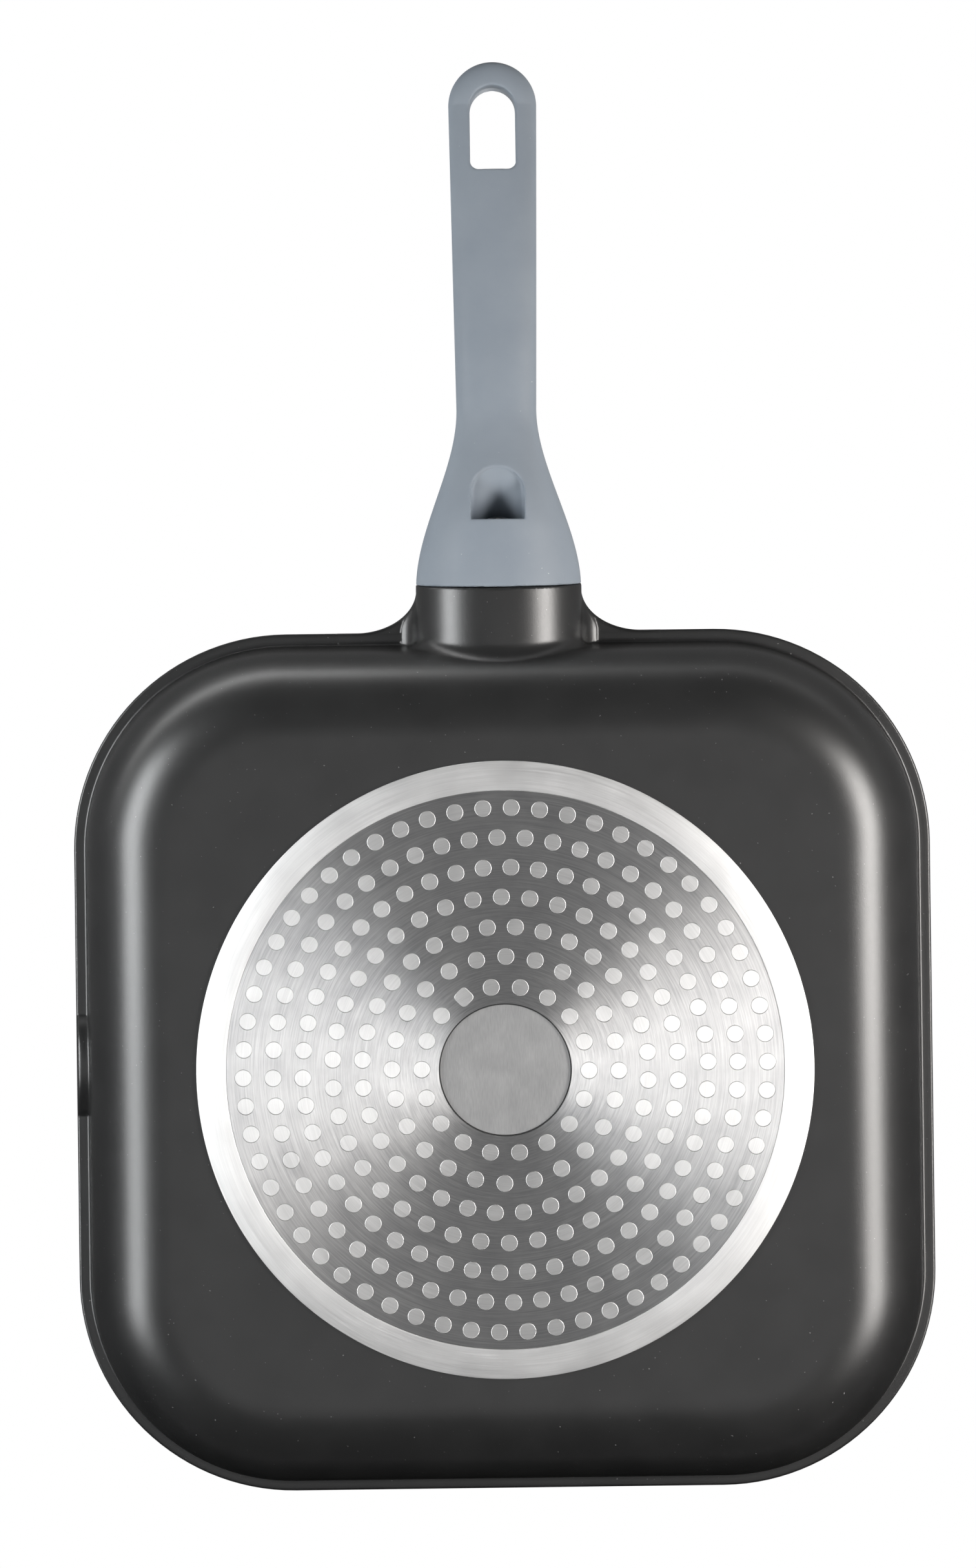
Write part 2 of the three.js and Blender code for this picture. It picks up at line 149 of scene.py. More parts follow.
def skinField(field, low, high, step):    # closed quad skin on the zero level of a solid field
    axes = [np.arange(a, b + step, step) for a, b in zip(low, high)]
    value = field(*np.meshgrid(*axes, indexing="ij"))
    inside = value < 0
    cells = np.array(value.shape) - 1
    total = np.zeros((*cells, 3))
    count = np.zeros(cells)
    quads = []
    for axis in range(3):
        near = [slice(None)] * 3
        far = [slice(None)] * 3
        near[axis] = slice(0, -1)
        far[axis] = slice(1, None)
        near, far = tuple(near), tuple(far)
        where = np.argwhere(inside[near] != inside[far])
        spot = tuple(where.T)
        part = value[near][spot] / (value[near][spot] - value[far][spot])
        point = where.astype(float)
        point[:, axis] += part
        ring = []
        for first, second in ((-1, -1), (0, -1), (0, 0), (-1, 0)):
            cell = where.copy()
            cell[:, (axis + 1) % 3] += first
            cell[:, (axis + 2) % 3] += second
            np.add.at(total, tuple(cell.T), point)
            np.add.at(count, tuple(cell.T), 1)
            ring.append(np.ravel_multi_index(tuple(cell.T), tuple(cells)))
        ring = np.stack(ring, 1)
        outward = inside[near][spot]
        quads.append(np.where(outward[:, None], ring, ring[:, ::-1]))
    used = count.ravel() > 0
    index = np.cumsum(used) - 1
    points = total.reshape(-1, 3)[used] / count.ravel()[used, None] * step + np.array(low)
    return settle(field, points, step), index[np.concatenate(quads)].tolist()


def settle(field, points, step):    # moves the skin's points onto the field's zero level
    nudge = step / 8
    for _ in range(4):
        slope = np.empty_like(points)
        for axis in range(3):
            shift = np.zeros(3)
            shift[axis] = nudge
            slope[:, axis] = (field(*(points + shift).T) - field(*(points - shift).T)) / (2 * nudge)
        push = field(*points.T) / np.maximum((slope ** 2).sum(1), 0.05)
        move = slope * np.clip(push, -step / 2, step / 2)[:, None]
        points = points - move
    return points


# Node trees

def addNode(tree, kind, inputs=None, **props):
    node = tree.nodes.new(kind)
    for key, value in props.items():
        setattr(node, key, value)
    for key, value in (inputs or {}).items():
        socket = node.inputs[key]
        if isinstance(value, bpy.types.NodeSocket):
            tree.links.new(value, socket)
        else:
            socket.default_value = value
    return node


def nodeOut(tree, kind, inputs=None, **props):    # a new node's first output
    return addNode(tree, kind, inputs, **props).outputs[0]


def vector(tree, parts):
    return nodeOut(tree, "ShaderNodeCombineXYZ", parts)


def joinAll(tree, parts):
    joined = addNode(tree, "GeometryNodeJoinGeometry")
    for part in parts:
        tree.links.new(part, joined.inputs[0])
    return joined.outputs[0]


def emptyTree(owner):
    owner.use_nodes = True
    owner.node_tree.nodes.clear()
    return owner.node_tree


def math2(tree, operation, a, b=0.0):
    return nodeOut(tree, "ShaderNodeMath", {0: a, 1: b}, operation=operation)


def newTree(name, inputs):
    tree = bpy.data.node_groups.new(name, "GeometryNodeTree")
    tree.interface.new_socket("Geometry", in_out="OUTPUT", socket_type="NodeSocketGeometry")
    for label, kind in inputs:
        tree.interface.new_socket(label, in_out="INPUT", socket_type="NodeSocket" + kind)
    return tree, addNode(tree, "NodeGroupInput").outputs


def endTree(tree, geometry, material):
    whole = nodeOut(tree, "GeometryNodeRealizeInstances", {"Geometry": geometry})
    painted = nodeOut(tree, "GeometryNodeSetMaterial", {"Geometry": whole, "Material": material})
    addNode(tree, "NodeGroupOutput", {0: painted})


def growMesh(name, tree, values):    # plain mesh from a tree, with its inputs set by identifier
    holder = bpy.data.objects.new(name + "Seed", bpy.data.meshes.new(name + "Seed"))
    bpy.context.scene.collection.objects.link(holder)
    modifier = holder.modifiers.new(name, "NODES")
    modifier.node_group = tree
    for item in tree.interface.items_tree:
        if item.in_out == "INPUT":
            modifier[item.identifier] = values[item.name]
    grown = holder.evaluated_get(bpy.context.evaluated_depsgraph_get())
    mesh = bpy.data.meshes.new_from_object(grown)
    holder.modifiers.remove(modifier)
    bpy.data.objects.remove(holder)
    return mesh


# Materials

def newMaterial(name, **settings):
    material = bpy.data.materials.new(name)
    material.use_nodes = True
    tree = material.node_tree
    shader = tree.nodes["Principled BSDF"]
    for key, value in settings.items():
        shader.inputs[key.replace("_", " ")].default_value = value
    coords = addNode(tree, "ShaderNodeTexCoord").outputs["Object"]
    return material, tree, shader, coords


def ramp(tree, value, low, high, start, end):
    return nodeOut(tree, "ShaderNodeMapRange", {0: value, 1: low, 2: high, 3: start, 4: end})


def tint(tree, part, first, second):
    node = addNode(tree, "ShaderNodeMix", data_type="RGBA")
    for socket, value in ((node.inputs[6], first), (node.inputs[7], second)):
        socket.default_value = (*value, 1)
    tree.links.new(part, node.inputs[0])
    return node.outputs[2]


def feed(tree, shader, **sockets):
    for key, value in sockets.items():
        tree.links.new(value, shader.inputs[key.replace("_", " ")])


def noise(tree, coords, scale, detail=2.0, rough=0.5):
    inputs = {"Vector": coords, "Scale": scale, "Detail": detail, "Roughness": rough}
    return addNode(tree, "ShaderNodeTexNoise", inputs).outputs["Fac"]


def bump(tree, height, strength, depth, normal=None):
    inputs = {"Height": height, "Strength": strength, "Distance": depth}
    if normal:
        inputs["Normal"] = normal
    return addNode(tree, "ShaderNodeBump", inputs).outputs["Normal"]


wideSpan = (0.3, 0.7)    # most of a noise's values
tightSpan = (0.35, 0.65)


def finishSkin(tree, shader, look, colour, wear, height):
    rough = ramp(tree, wear, *wideSpan, look["smooth"], look["rough"])
    relief = bump(tree, height, look["relief"], look["depth"])
    feed(tree, shader, Base_Color=colour, Roughness=rough, Normal=relief)


coatLook = {
    "dark": (0.013, 0.0131, 0.0134), "pale": (0.017, 0.0171, 0.0174), "speck": (0.16, 0.16, 0.16),
    "smooth": 0.3, "rough": 0.38, "ior": 1.7, "mottle": 60, "mottleSpan": tightSpan,
    "grain": 2300, "grainDetail": 3, "specks": 1100, "speckSpan": (0.77, 0.8),
    "relief": 0.25, "depth": 0.00006,
}
mouldLook = {
    "dark": (0.223, 0.256, 0.297), "pale": (0.253, 0.287, 0.327), "speck": (0.5, 0.52, 0.54),
    "smooth": 0.5, "rough": 0.62, "ior": 1.45, "mottle": 45, "mottleSpan": wideSpan,
    "grain": 3000, "grainDetail": 2, "specks": 900, "speckSpan": (0.81, 0.83),
    "relief": 0.2, "depth": 0.00004,
}


def speckledSkin(name, look):    # mottled, with a fine grain and a few pale specks
    material, tree, shader, coords = newMaterial(name, IOR=look["ior"])
    cloud = noise(tree, coords, look["mottle"], 4)
    grain = noise(tree, coords, look["grain"], look["grainDetail"], 0.6)
    dots = noise(tree, coords, look["specks"], 1)
    colour = tint(tree, ramp(tree, cloud, *look["mottleSpan"], 0, 1), look["dark"], look["pale"])
    speck = ramp(tree, dots, *look["speckSpan"], 0, 1)
    blend = addNode(tree, "ShaderNodeMix", {0: speck, 6: colour}, data_type="RGBA")
    blend.inputs[7].default_value = (*look["speck"], 1)
    finishSkin(tree, shader, look, blend.outputs[2], grain, grain)
    return material


turnedLook = {
    "rings": 2600, "waver": 4.0, "stroke": (1, 7, 7), "patches": 90, "ringShare": 0.7, "patchShare": 0.3,
    "ringRelief": 0.3, "strokeRelief": 0.8, "spread": (0.85, 1.15),
}


def turnedMetal(name, dark, pale, rough, stretch, depth):
    look = turnedLook
    material, tree, shader, coords = newMaterial(name, Metallic=1.0, Anisotropic=stretch)
    axes = addNode(tree, "ShaderNodeSeparateXYZ", {0: coords}).outputs
    flat = vector(tree, {0: axes[0], 1: axes[1]})
    radius = addNode(tree, "ShaderNodeVectorMath", {0: flat}, operation="LENGTH").outputs["Value"]
    spoke = nodeOut(tree, "ShaderNodeVectorMath", {0: flat}, operation="NORMALIZE")
    turn = addNode(tree, "ShaderNodeSeparateXYZ", {0: spoke}).outputs
    arcs = vector(tree, {
        0: math2(tree, "MULTIPLY", radius, look["rings"]),
        1: math2(tree, "MULTIPLY", turn[0], look["waver"]),
        2: math2(tree, "MULTIPLY", turn[1], look["waver"])})
    rings = noise(tree, arcs, 1.0, 4, 0.65)    # long streaks round the middle
    short = nodeOut(tree, "ShaderNodeVectorMath", {0: arcs, 1: look["stroke"]}, operation="MULTIPLY")
    strokes = noise(tree, short, 1.0, 2, 0.6)    # short brush strokes between them
    patches = noise(tree, coords, look["patches"], 3)
    worn = math2(tree, "ADD", math2(tree, "MULTIPLY", rings, look["ringShare"]),
                 math2(tree, "MULTIPLY", patches, look["patchShare"]))
    colour = tint(tree, ramp(tree, worn, *tightSpan, 0, 1), dark, pale)
    relief = bump(tree, rings, look["ringRelief"], depth)
    relief = bump(tree, strokes, look["strokeRelief"], depth, relief)
    spread = ramp(tree, worn, *wideSpan, *(rough * part for part in look["spread"]))
    feed(tree, shader, Base_Color=colour, Roughness=spread, Normal=relief, Tangent=spoke)
    return material


spotLook = {
    "dark": (0.51, 0.51, 0.515), "pale": (0.61, 0.61, 0.61), "smooth": 0.42, "rough": 0.52,
    "lines": 3400, "drawn": (1, 0.1, 1), "mottle": 120, "relief": 0.25, "depth": 0.00003,
}


def spotMetal():    # plain middle of the base, with fine straight scratches
    look = spotLook
    material, tree, shader, coords = newMaterial("plainAluminium", Metallic=1.0)
    drawn = nodeOut(tree, "ShaderNodeMapping", {"Vector": coords, "Scale": look["drawn"]})
    lines = noise(tree, drawn, look["lines"], 3, 0.6)
    cloud = noise(tree, coords, look["mottle"], 3)
    colour = tint(tree, ramp(tree, lines, *wideSpan, 0, 1), look["dark"], look["pale"])
    finishSkin(tree, shader, look, colour, cloud, lines)
    return material


steelLook = {
    "dark": (0.42, 0.42, 0.42), "pale": (0.6, 0.6, 0.58), "smooth": 0.3, "rough": 0.42,
    "mottle": 700, "relief": 0.15, "depth": 0.00003,
}


def platedSteel():
    look = steelLook
    material, tree, shader, coords = newMaterial("platedSteel", Metallic=1.0)
    cloud = noise(tree, coords, look["mottle"], 4)
    colour = tint(tree, ramp(tree, cloud, *tightSpan, 0, 1), look["dark"], look["pale"])
    finishSkin(tree, shader, look, colour, cloud, cloud)
    return material


coat = speckledSkin("satinBlackCoat", coatLook)
bareRing = turnedMetal("turnedAluminium", (0.82, 0.82, 0.82), (0.93, 0.93, 0.93),
                       rough=0.6, stretch=0.4, depth=0.00003)
plateSteel = turnedMetal("turnedSteel", (0.42, 0.42, 0.43), (0.66, 0.66, 0.66),
                         rough=0.52, stretch=0.82, depth=0.00004)
fillMetal = turnedMetal("turnedFill", (0.72, 0.72, 0.72), (0.84, 0.84, 0.84),
                        rough=0.58, stretch=0.52, depth=0.00003)
spot = spotMetal()
moulding = speckledSkin("mattGreyMoulding", mouldLook)
steel = platedSteel()
print("materials made")


# Vessel: one row of profile points at each place round the rim

bodyHigh = corners("pan_body")[1]
vesselSpec = {
    "reach": bodyHigh.x, "height": bodyHigh.z, "corner": 70, "lean": 9, "wall": 3.5,
    "under": 1, "floor": 6,    # coated underside and cooking floor above the hob
    "outerFillet": 28, "innerFillet": 22, "lip": 4, "lipHeight": 4.4,
    "ledgeFillet": 1, "lipRound": 0.8, "rimRound": 1.5, "flat": 1.2, "cornerSteps": 30, "sideSteps": 14,
}
spoutSpec = {
    "width": 32.5, "drop": 8.5, "wall": 3, "lean": 6, "edge": 1.6, "lipRound": 1.7,
    "step": 0.5, "fineReach": 23,    # closer points along the rim on both sides of the spout
}


reach = vesselSpec["reach"]
rimHeight = vesselSpec["height"]
ledge = rimHeight - vesselSpec["lipHeight"]
cornerMiddle = reach - vesselSpec["corner"]
lean = math.radians(vesselSpec["lean"])


def footInset(ledgeInset, floor, fillet):
    tangent = floor + fillet * (1 - math.sin(lean))
    return ledgeInset + (ledge - tangent) * math.tan(lean) + fillet * math.cos(lean)


def footArc(ledgeInset, floor, fillet, steps):
    inset = footInset(ledgeInset, floor, fillet)
    return arcPoints(inset, floor + fillet, fillet, -90, vesselSpec["lean"] - 180, steps)


def wallInset(z, ledgeInset):
    return ledgeInset + (ledge - z) * math.tan(lean)


def spoutHeights(across):    # underside of the bulge and floor of the channel
    half = spoutSpec["width"] / 2
    outer = (half ** 2 + spoutSpec["drop"] ** 2) / (2 * spoutSpec["drop"])
    middle = ledge - spoutSpec["drop"] + outer
    inner = outer - spoutSpec["wall"]
    under = middle - math.sqrt(max(outer ** 2 - across ** 2, 0))
    over = middle - math.sqrt(max(inner ** 2 - across ** 2, 0))
    low = float(softMin(under, ledge, spoutSpec["edge"] / 3))
    high = float(softMin(over, rimHeight, spoutSpec["edge"]))
    return low, high


def rimProfile(low, high):    # (inset, height) from the underside, over the rim, to the cooking floor
    spec = vesselSpec
    lip, wall = spec["lip"], spec["wall"]
    out = (ledge - low) * math.tan(math.radians(spoutSpec["lean"]))
    edge = mix(spec["lipRound"], spoutSpec["lipRound"], (ledge - low) / spoutSpec["drop"])
    small = spec["ledgeFillet"]
    turn = min(spec["rimRound"], 0.4 * (high - low))
    inner = wallInset(high - turn, lip + wall)
    under = footArc(lip, spec["under"], spec["outerFillet"], 16)
    inside = footArc(lip + wall, spec["floor"], spec["innerFillet"], 14)[::-1]
    rows = [(under[0][0] + spec["flat"], spec["under"])] + under
    straight = low - small
    rows += [(wallInset(z, lip), z) for z in np.linspace(under[-1][1], straight, 6)[1:-1]]
    rows += arcPoints(wallInset(straight, lip) - small, straight, small, 0, 90, 5)
    rows += [(mix(wallInset(straight, lip) - small, out + edge, 0.5), low)]
    rows += arcPoints(out + edge, low + edge, edge, -90, -180, 5)
    rows += [(out, mix(low + edge, high - turn, 0.5))]
    rows += arcPoints(out + turn, high - turn, turn, 180, 90, 6)
    rows += [(mix(out + turn, inner - turn, 0.5), high)]
    rows += arcPoints(inner - turn, high - turn, turn, 90, 0, 6)
    rows += [(wallInset(z, lip + wall), z) for z in np.linspace(high - turn, inside[0][1], 6)[1:-1]]
    return rows + inside + [(inside[-1][0] + spec["flat"], spec["floor"])]


def rimPlaces():    # (middle x, middle y, turn, distance from the spout) round the rim
    places = []
    near = spoutSpec["fineReach"]
    fine = np.arange(-near, near + 0.01, spoutSpec["step"])
    coarse = np.linspace(-cornerMiddle, cornerMiddle, vesselSpec["sideSteps"] + 1)[1:-1]
    for quarter in range(4):
        turn = quarter * math.pi / 2
        along = coarse
        if quarter == 0:
            along = np.concatenate([coarse[coarse < -near - 1], fine, coarse[coarse > near + 1]])
        for place in along:
            x = cornerMiddle * math.cos(turn) - place * math.sin(turn)
            y = cornerMiddle * math.sin(turn) + place * math.cos(turn)
            places.append((x, y, turn, abs(place) if quarter == 0 else reach))
        x = math.copysign(cornerMiddle, math.cos(turn + 0.1))
        y = math.copysign(cornerMiddle, math.sin(turn + 0.1))
        for step in range(vesselSpec["cornerSteps"] + 1):
            places.append((x, y, turn + math.pi / 2 * step / vesselSpec["cornerSteps"], reach))
    return places


def buildVessel():
    places = rimPlaces()
    columns = []
    for x, y, turn, spoutway in places:
        low, high = spoutHeights(spoutway) if spoutway < cornerMiddle else (ledge, rimHeight)
        rows = rimProfile(low, high)
        size = vesselSpec["corner"]
        columns.append([(x + math.cos(turn) * (size - inset), y + math.sin(turn) * (size - inset), z)
                        for inset, z in rows])
    count = len(columns)
    rings = len(columns[0])
    points = [columns[k][ring] for ring in range(rings) for k in range(count)]
    faces = ringFaces(rings, count) + endCaps(count, len(points))
    return addPiece("vessel", points, faces, [coat], "coated_aluminium", "pan_body", sharp=50)


buildVessel()


# Grill ribs: one tree, each rib as long as the floor allows at its place

ribSpec = {
    "pitch": 14, "foot": 5.4, "crest": 3.6, "height": 3.6, "edge": 0.8, "gutter": 7, "root": 1, "end": 5,
    "steps": 24,    # places along one rib, half of them at each end
}
ribSizes = ["Pitch", "Foot", "Crest", "Height", "Edge", "Root", "End"]


def ribTree():
    inputs = [(label, "Float") for label in ribSizes + ["Corner", "Radius", "Floor"]]
    tree, given = newTree("grillRibTree", inputs + [("Ribs", "Int"), ("Material", "Material")])
    steps = ribSpec["steps"]

    def calc(operation, first, second=0.0):
        return math2(tree, operation, first, second)

    line = nodeOut(tree, "GeometryNodeMeshLine", {"Count": steps})
    row = nodeOut(tree, "GeometryNodeMeshLine", {"Count": given["Ribs"]})
    many = nodeOut(tree, "GeometryNodeInstanceOnPoints", {"Points": row, "Instance": line})
    whole = nodeOut(tree, "GeometryNodeRealizeInstances", {0: many})
    index = nodeOut(tree, "GeometryNodeInputIndex")
    rib = calc("FLOOR", calc("DIVIDE", index, float(steps)))
    local = calc("SUBTRACT", index, calc("MULTIPLY", rib, float(steps)))
    middle = calc("DIVIDE", calc("SUBTRACT", given["Ribs"], 1.0), 2.0)
    x = calc("MULTIPLY", calc("SUBTRACT", rib, middle), given["Pitch"])
    past = calc("MAXIMUM", calc("SUBTRACT", calc("ABSOLUTE", x), given["Corner"]), 0.0)
    square = calc("SUBTRACT", calc("POWER", given["Radius"], 2.0), calc("POWER", past, 2.0))
    half = calc("ADD", given["Corner"], calc("SQRT", square))
    back = calc("SUBTRACT", steps - 1.0, local)
    near = calc("MINIMUM", local, back)
    turn = calc("MULTIPLY", near, math.pi / 2 / (steps / 2 - 1))
    offset = calc("MULTIPLY", given["End"], calc("SUBTRACT", 1.0, calc("COSINE", turn)))
    side = calc("SIGN", calc("SUBTRACT", local, steps / 2 - 0.5))
    y = calc("MULTIPLY", side, calc("SUBTRACT", half, offset))
    place = vector(tree, {0: x, 1: y, 2: given["Floor"]})
    laid = nodeOut(tree, "GeometryNodeSetPosition", {0: whole, "Position": place})
    size = calc("MAXIMUM", calc("SINE", turn), 0.02)    # rounded off at both ends
    kept = nodeOut(tree, "GeometryNodeStoreNamedAttribute",
                   {0: laid, "Name": "swell", "Value": size}, data_type="FLOAT", domain="POINT")
    curve = nodeOut(tree, "GeometryNodeMeshToCurve", {0: kept})
    swell = nodeOut(tree, "GeometryNodeInputNamedAttribute", {"Name": "swell"}, data_type="FLOAT")
    curve = nodeOut(tree, "GeometryNodeSetCurveNormal", {"Curve": curve}, mode="Z_UP")
    tall = calc("ADD", given["Height"], given["Root"])
    section = nodeOut(tree, "GeometryNodeCurvePrimitiveQuadrilateral", {
        "Bottom Width": given["Foot"], "Top Width": given["Crest"], "Height": tall, "Offset": 0.0},
        mode="TRAPEZOID")
    rounded = nodeOut(tree, "GeometryNodeFilletCurve",
                      {"Curve": section, "Radius": given["Edge"], "Count": 4}, mode="POLY")
    lift = calc("SUBTRACT", calc("DIVIDE", tall, 2.0), given["Root"])
    shift = vector(tree, {1: lift})
    rounded = nodeOut(tree, "GeometryNodeTransform", {0: rounded, "Translation": shift})
    skin = nodeOut(tree, "GeometryNodeCurveToMesh",
                   {"Curve": curve, "Profile Curve": rounded, "Scale": swell, "Fill Caps": True})
    endTree(tree, skin, given["Material"])
    return tree


def buildRibs():
    spec = ribSpec
    inset = footInset(vesselSpec["lip"] + vesselSpec["wall"], vesselSpec["floor"], vesselSpec["innerFillet"])
    inset += spec["gutter"]
    ribs = 2 * int((reach - inset - spec["foot"] / 2) / spec["pitch"]) + 1
    values = {label: spec[label.lower()] * mm for label in ribSizes}
    values.update({
        "Corner": cornerMiddle * mm, "Radius": (vesselSpec["corner"] - inset) * mm,
        "Floor": vesselSpec["floor"] * mm, "Ribs": ribs, "Material": coat,
    })
    mesh = growMesh("grillRibs", ribTree(), values)
    return dressPiece("grillRibs", mesh, [coat], "coated_aluminium", "pan_body")


buildRibs()


# Handle boss and web, grown out of the wall with fillets

jointY = corners("handle")[0].y - 0.3    # joint face of the boss, under the handle's gap
bossSpec = {
    "width": 54, "belly": 16.6, "shoulder": 37.5, "crown": 43.5, "bellyPower": 2.05, "crownPower": 4,
    "wallFillet": 3.6, "webFillet": 7.5, "webFrom": -1, "webTo": 14,    # the web's fillet grows off the joint
    "jointFillet": 0.3, "fineFillet": 0.15, "jointBack": 1, "jointLean": 0.1, "jointEdge": 0.35,
    "flare": 20, "edge": 0.8, "sunk": 0.03, "rootDeep": 2, "rootSide": 6, "rootLow": 9,
    "tenonWidth": 32, "tenonHeight": 15, "tenonLength": 9, "tenonMiddle": 33,
    "tenonPower": 4, "tenonEdge": 0.6, "skin": 0.55, "skinLow": (-56, 118, 5), "skinOver": 3,
}


def ovalField(across, halfWidth, z, belly, shoulder, crown, bellyPower, crownPower):
    up = z > shoulder
    power = np.where(up, crownPower, bellyPower)
    half = np.where(up, crown - shoulder, shoulder - belly)
    u = across / halfWidth
    v = np.abs(z - shoulder) / half
    grow = np.maximum((u ** power + v ** power) ** (1 / power), 0.3)
    slope = grow ** (1 - power) * np.hypot(u ** (power - 1) / halfWidth, v ** (power - 1) / half)
    return (grow - 1) / np.maximum(slope, 0.5 / np.maximum(halfWidth, half))


def wallField(y, z):    # distance outside the straight or rounded outer wall on the handle's side
    spec = vesselSpec
    foot = footInset(spec["lip"], spec["under"], spec["outerFillet"])
    tangent = spec["under"] + spec["outerFillet"] * (1 - math.sin(lean))
    straight = (y - reach + spec["lip"] + (ledge - z) * math.tan(lean)) * math.cos(lean)
    rounded = np.hypot(y - reach + foot, z - spec["under"] - spec["outerFillet"]) - spec["outerFillet"]
    return np.where(z > tangent, straight, rounded)


def jointFace(z):    # the handle rises, so the face leans back a little
    return jointY - bossSpec["jointBack"] + (z - bossSpec["belly"]) * bossSpec["jointLean"]


def tenonField(x, y, z, clearance):
    spec = bossSpec
    half = spec["tenonHeight"] / 2 + clearance
    middle = spec["tenonMiddle"]
    power = spec["tenonPower"]
    oval = ovalField(np.abs(x), spec["tenonWidth"] / 2 + clearance, z,
                     middle - half, middle, middle + half, power, power)
    return roundKeep(oval, y - jointY - spec["tenonLength"] - clearance, spec["tenonEdge"])


def bossField(x, y, z):
    spec = bossSpec
    x = np.abs(x)
    wall = wallField(y, z)
    lip = roundKeep(y - reach, ledge - z, vesselSpec["lipRound"])
    lip = roundKeep(lip, z - rimHeight, vesselSpec["rimRound"])
    shell = roundJoin(np.maximum(wall, z - ledge - 1), lip, vesselSpec["ledgeFillet"])
    shell = shell + spec["sunk"]    # just under the vessel's own skin
    oval = ovalField(x, spec["width"] / 2, z, spec["belly"], spec["shoulder"], spec["crown"],
                     spec["bellyPower"], spec["crownPower"])
    wide = spec["width"] / 2 + spec["flare"]
    deep = jointY - reach
    ring = np.maximum(np.hypot((x - wide) / spec["flare"], (y - jointY) / deep), 0.05)
    steep = np.hypot((x - wide) / spec["flare"] ** 2, (y - jointY) / deep ** 2) / ring
    outline = np.where(x < wide, (1 - ring) / np.maximum(steep, 0.02), y - reach)
    web = roundKeep(roundKeep(outline, ledge - z, spec["edge"]), z - spec["crown"], spec["edge"])
    fine = spec["fineFillet"]    # above the ledge
    grown = ease(jointY - y, spec["webFrom"], spec["webTo"])
    webFillet = mix(mix(spec["jointFillet"], spec["webFillet"], grown), fine, ease(z, ledge - 0.5, ledge + 1))
    wallFillet = mix(spec["wallFillet"], fine, ease(z, ledge - 9, ledge - 0.5))
    solid = roundJoin(oval, web, webFillet)
    solid = roundJoin(solid, shell, wallFillet)
    solid = roundKeep(solid, y - jointFace(z), spec["jointEdge"])
    solid = np.minimum(solid, tenonField(x, y, z, 0))
    root = np.maximum(x - wide - spec["rootSide"], spec["rootLow"] - z)
    root = np.maximum(-wall - spec["rootDeep"], root)    # hidden inside the metal
    return np.maximum(solid, root)


def buildBoss():
    low, over = bossSpec["skinLow"], bossSpec["skinOver"]
    high = (-low[0], jointY + bossSpec["tenonLength"] + over, rimHeight + over)
    points, faces = skinField(bossField, low, high, bossSpec["skin"])
    return addPiece("handleBoss", points, faces, [coat], "coated_aluminium", "pan_body", sharp=60)


buildBoss()


# Base: bare pad, steel plate with its rings of holes, and the aluminium that fills them

plateHigh = corners("induction_plate")[1]
plateSpec = {
    "radius": plateHigh.x, "thick": plateHigh.z, "bore": 21, "groove": 0.4, "pad": 9.5, "play": 0.15,
    "hole": 2.75, "fillGap": 0.06, "firstRing": 26.4, "lastRing": 82.7, "index": 61, "square": 5.2,
    "squareTurn": -16, "squareCorner": 0.25, "rings": (18, 24, 32, 38, 46, 52, 58), "holeSides": 20,
    "sink": 0.02, "bevel": 0.1, "bevelScale": 0.94, "spotStep": 0.14, "spotEdge": 0.1, "padRoot": 0.6,
    "padSteps": 240, "boreSteps": 120,
}


def buildPad():
    spec = plateSpec
    outer = spec["radius"] + spec["pad"]
    seat = spec["radius"] + spec["play"]
    edge = spec["bore"] - spec["groove"]
    soft = spec["spotEdge"]
    floor = spec["thick"] + spec["spotStep"]
    groove = floor + spec["groove"]
    profile = [(edge - soft, floor), (edge, floor + soft), (edge, groove), (spec["bore"], groove),
               (spec["bore"], spec["thick"]), (seat, spec["thick"]),
               (seat, 0.12), (seat + 0.15, 0.02), (seat + 0.3, 0),    # inner edge of the ring
               (outer - 0.35, 0), (outer - 0.1, 0.1), (outer, 0.35),    # and its outer edge
               (outer, vesselSpec["under"] + spec["padRoot"])]
    points, faces = lathe(profile, spec["padSteps"], capped=True)
    piece = addPiece("basePad", points, faces, [bareRing, spot], "coated_aluminium", "pan_body", sharp=30)
    for face in piece.data.polygons:
        middle = face.center / mm
        if middle.xy.length < spec["bore"] and middle.z < floor + soft:
            face.material_index = 1
    return piece


plateSizes = {
    "Plate radius": "radius", "Bore radius": "bore", "Thickness": "thick", "Hole radius": "hole",
    "Square": "square", "First ring": "firstRing", "Sink": "sink", "Bevel": "bevel",
}
plateInputs = [*plateSizes, "Ring pitch", "Index", "Square corner", "Square turn", "Bevel scale"]
ringInputs = ["Ring %d holes" % (k + 1) for k in range(len(plateSpec["rings"]))]


def plateValues():
    spec = plateSpec
    pitch = (spec["lastRing"] - spec["firstRing"]) / (len(spec["rings"]) - 1)
    values = {label: spec[key] * mm for label, key in plateSizes.items()}
    values.update({
        "Ring pitch": pitch * mm, "Index": math.radians(spec["index"]), "Bevel scale": spec["bevelScale"],
        "Square corner": spec["squareCorner"], "Square turn": math.radians(spec["squareTurn"]),
    })
    values.update(zip(ringInputs, spec["rings"]))
    return values


